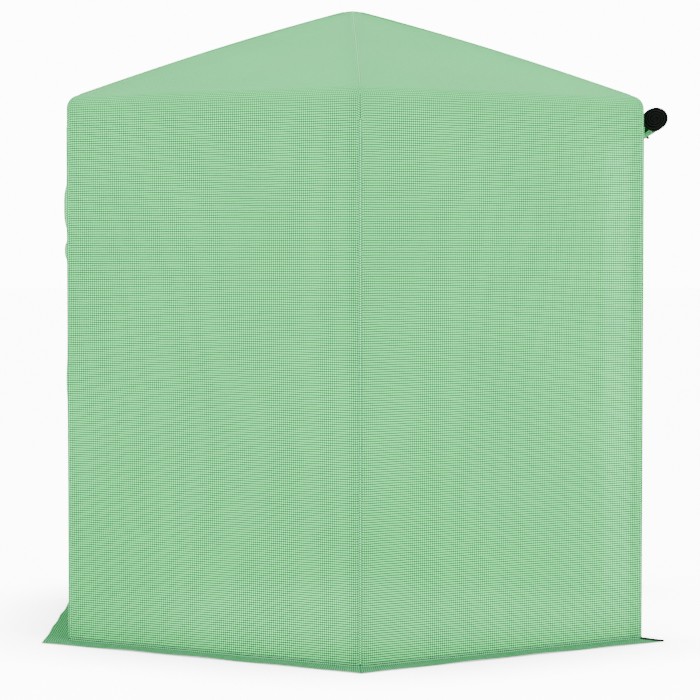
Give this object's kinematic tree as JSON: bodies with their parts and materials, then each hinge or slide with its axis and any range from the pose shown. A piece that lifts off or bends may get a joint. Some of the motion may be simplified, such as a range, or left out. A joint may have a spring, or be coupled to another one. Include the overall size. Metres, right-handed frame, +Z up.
{
  "type": "pop-up greenhouse",
  "caption": "Hexagonal walk-in pop-up greenhouse with an umbrella-type folding frame, telescopic legs, a green gridded cover, a ground skirt and a rolled-up door.",
  "frame": {"origin": "centre of the ground plan, on the ground", "axes": "+Z is up, -Y points out of the front corner between the two plain front walls, +X out of the open doorway"},
  "size_m": [1.7943, 2.0718, 1.8478],
  "materials": {
    "tube": "satin grey powder coat",
    "fitting": "moulded black nylon",
    "rubber": "matt black rubber",
    "cover": "translucent green polyethylene film on a woven grid",
    "hem": "plain green polyethylene hem",
    "zip": "black enamelled zinc",
    "band": "black webbing"
  },
  "bodies": {
    "hub": {"hub_body": "fitting", "hub_cap": "fitting", "hub_pull_knob": "fitting"},
    "rib_front": {"rib_front": "tube", "elbow_front": "fitting", "roof_front_right": "cover"},
    "leg_front": {"leg_upper_front": "tube", "wall_front_right": "cover", "skirt_front_right": "hem"},
    "foot_front": {"leg_lower_front": "tube", "foot_front": "rubber"},
    "rib_right_front": {"rib_right_front": "tube", "elbow_right_front": "fitting", "roof_right": "cover"},
    "leg_right_front": {"leg_upper_right_front": "tube", "door_frame_right": "cover", "door_roll_right": "cover", "door_tie_front": "band", "door_tie_rear": "band"},
    "foot_right_front": {"leg_lower_right_front": "tube", "foot_right_front": "rubber"},
    "rib_right_rear": {"rib_right_rear": "tube", "elbow_right_rear": "fitting", "roof_rear_right": "cover"},
    "leg_right_rear": {"leg_upper_right_rear": "tube", "wall_rear_right": "cover", "skirt_rear_right": "hem"},
    "foot_right_rear": {"leg_lower_right_rear": "tube", "foot_right_rear": "rubber"},
    "rib_rear": {"rib_rear": "tube", "elbow_rear": "fitting", "roof_rear_left": "cover"},
    "leg_rear": {"leg_upper_rear": "tube", "wall_rear_left": "cover", "skirt_rear_left": "hem"},
    "foot_rear": {"leg_lower_rear": "tube", "foot_rear": "rubber"},
    "rib_left_rear": {"rib_left_rear": "tube", "elbow_left_rear": "fitting", "roof_left": "cover"},
    "leg_left_rear": {"leg_upper_left_rear": "tube", "door_frame_left": "cover", "skirt_left": "hem", "door_left": "cover"},
    "foot_left_rear": {"leg_lower_left_rear": "tube", "foot_left_rear": "rubber"},
    "rib_left_front": {"rib_left_front": "tube", "elbow_left_front": "fitting", "roof_front_left": "cover"},
    "leg_left_front": {"leg_upper_left_front": "tube", "wall_front_left": "cover", "skirt_front_left": "hem"},
    "foot_left_front": {"leg_lower_left_front": "tube", "foot_left_front": "rubber"},
    "zip_slider_front": {"zip_slider_front": "zip"},
    "zip_pull_front": {"zip_pull_front": "zip"},
    "zip_slider_rear": {"zip_slider_rear": "zip"},
    "zip_pull_rear": {"zip_pull_rear": "zip"}
  },
  "joints": [
    {"name": "rib_fold_front", "type": "hinge", "parent": "hub", "child": "rib_front", "pos_m": [0, -0.042, 1.81994], "axis": [-1, 0, 0], "range_deg": [0, 107], "deforming": ["roof_front_right"]},
    {"name": "leg_fold_front", "type": "hinge", "parent": "rib_front", "child": "leg_front", "pos_m": [0, -0.891, 1.55183], "axis": [-1, 0, 0], "range_deg": [-107, 0], "deforming": ["wall_front_right", "skirt_front_right"]},
    {"name": "leg_slide_front", "type": "slide", "parent": "leg_front", "child": "foot_front", "axis": [0, 0, 1], "range_m": [0, 0.65]},
    {"name": "rib_fold_right_front", "type": "hinge", "parent": "hub", "child": "rib_right_front", "pos_m": [0.03637, -0.021, 1.81994], "axis": [-0.5, -0.866, 0], "range_deg": [0, 107], "deforming": ["roof_right"]},
    {"name": "leg_fold_right_front", "type": "hinge", "parent": "rib_right_front", "child": "leg_right_front", "pos_m": [0.77163, -0.4455, 1.55183], "axis": [-0.5, -0.866, 0], "range_deg": [-107, 0], "deforming": ["door_frame_right", "door_roll_right", "door_tie_front", "door_tie_rear"]},
    {"name": "leg_slide_right_front", "type": "slide", "parent": "leg_right_front", "child": "foot_right_front", "axis": [0, 0, 1], "range_m": [0, 0.65]},
    {"name": "rib_fold_right_rear", "type": "hinge", "parent": "hub", "child": "rib_right_rear", "pos_m": [0.03637, 0.021, 1.81994], "axis": [0.5, -0.866, 0], "range_deg": [0, 107], "deforming": ["roof_rear_right"]},
    {"name": "leg_fold_right_rear", "type": "hinge", "parent": "rib_right_rear", "child": "leg_right_rear", "pos_m": [0.77163, 0.4455, 1.55183], "axis": [0.5, -0.866, 0], "range_deg": [-107, 0], "deforming": ["wall_rear_right", "skirt_rear_right"]},
    {"name": "leg_slide_right_rear", "type": "slide", "parent": "leg_right_rear", "child": "foot_right_rear", "axis": [0, 0, 1], "range_m": [0, 0.65]},
    {"name": "rib_fold_rear", "type": "hinge", "parent": "hub", "child": "rib_rear", "pos_m": [0, 0.042, 1.81994], "axis": [1, 0, 0], "range_deg": [0, 107], "deforming": ["roof_rear_left"]},
    {"name": "leg_fold_rear", "type": "hinge", "parent": "rib_rear", "child": "leg_rear", "pos_m": [0, 0.891, 1.55183], "axis": [1, 0, 0], "range_deg": [-107, 0], "deforming": ["wall_rear_left", "skirt_rear_left"]},
    {"name": "leg_slide_rear", "type": "slide", "parent": "leg_rear", "child": "foot_rear", "axis": [0, 0, 1], "range_m": [0, 0.65]},
    {"name": "rib_fold_left_rear", "type": "hinge", "parent": "hub", "child": "rib_left_rear", "pos_m": [-0.03637, 0.021, 1.81994], "axis": [0.5, 0.866, 0], "range_deg": [0, 107], "deforming": ["roof_left"]},
    {"name": "leg_fold_left_rear", "type": "hinge", "parent": "rib_left_rear", "child": "leg_left_rear", "pos_m": [-0.77163, 0.4455, 1.55183], "axis": [0.5, 0.866, 0], "range_deg": [-107, 0], "deforming": ["door_frame_left", "skirt_left", "door_left"]},
    {"name": "leg_slide_left_rear", "type": "slide", "parent": "leg_left_rear", "child": "foot_left_rear", "axis": [0, 0, 1], "range_m": [0, 0.65]},
    {"name": "rib_fold_left_front", "type": "hinge", "parent": "hub", "child": "rib_left_front", "pos_m": [-0.03637, -0.021, 1.81994], "axis": [-0.5, 0.866, 0], "range_deg": [0, 107], "deforming": ["roof_front_left"]},
    {"name": "leg_fold_left_front", "type": "hinge", "parent": "rib_left_front", "child": "leg_left_front", "pos_m": [-0.77163, -0.4455, 1.55183], "axis": [-0.5, 0.866, 0], "range_deg": [-107, 0], "deforming": ["wall_front_left", "skirt_front_left"]},
    {"name": "leg_slide_left_front", "type": "slide", "parent": "leg_left_front", "child": "foot_left_front", "axis": [0, 0, 1], "range_m": [0, 0.65]},
    {"name": "zip_slide_front", "type": "slide", "parent": "leg_left_front", "child": "zip_slider_front", "axis": [0, 0, 1], "range_m": [0, 1.375]},
    {"name": "zip_pull_swing_front", "type": "hinge", "parent": "zip_slider_front", "child": "zip_pull_front", "pos_m": [-0.82952, -0.43, 0.055], "axis": [0, 1, 0], "range_deg": [0, 165]},
    {"name": "zip_slide_rear", "type": "slide", "parent": "leg_left_rear", "child": "zip_slider_rear", "axis": [0, 0, 1], "range_m": [0, 1.375]},
    {"name": "zip_pull_swing_rear", "type": "hinge", "parent": "zip_slider_rear", "child": "zip_pull_rear", "pos_m": [-0.82952, 0.43, 0.055], "axis": [0, 1, 0], "range_deg": [0, 165]}
  ],
  "couplings": [
    {"joint": "leg_fold_front", "follows": "rib_fold_front", "ratio": -1},
    {"joint": "rib_fold_right_front", "follows": "rib_fold_front", "ratio": 1},
    {"joint": "leg_fold_right_front", "follows": "rib_fold_front", "ratio": -1},
    {"joint": "rib_fold_right_rear", "follows": "rib_fold_front", "ratio": 1},
    {"joint": "leg_fold_right_rear", "follows": "rib_fold_front", "ratio": -1},
    {"joint": "rib_fold_rear", "follows": "rib_fold_front", "ratio": 1},
    {"joint": "leg_fold_rear", "follows": "rib_fold_front", "ratio": -1},
    {"joint": "rib_fold_left_rear", "follows": "rib_fold_front", "ratio": 1},
    {"joint": "leg_fold_left_rear", "follows": "rib_fold_front", "ratio": -1},
    {"joint": "rib_fold_left_front", "follows": "rib_fold_front", "ratio": 1},
    {"joint": "leg_fold_left_front", "follows": "rib_fold_front", "ratio": -1}
  ]
}
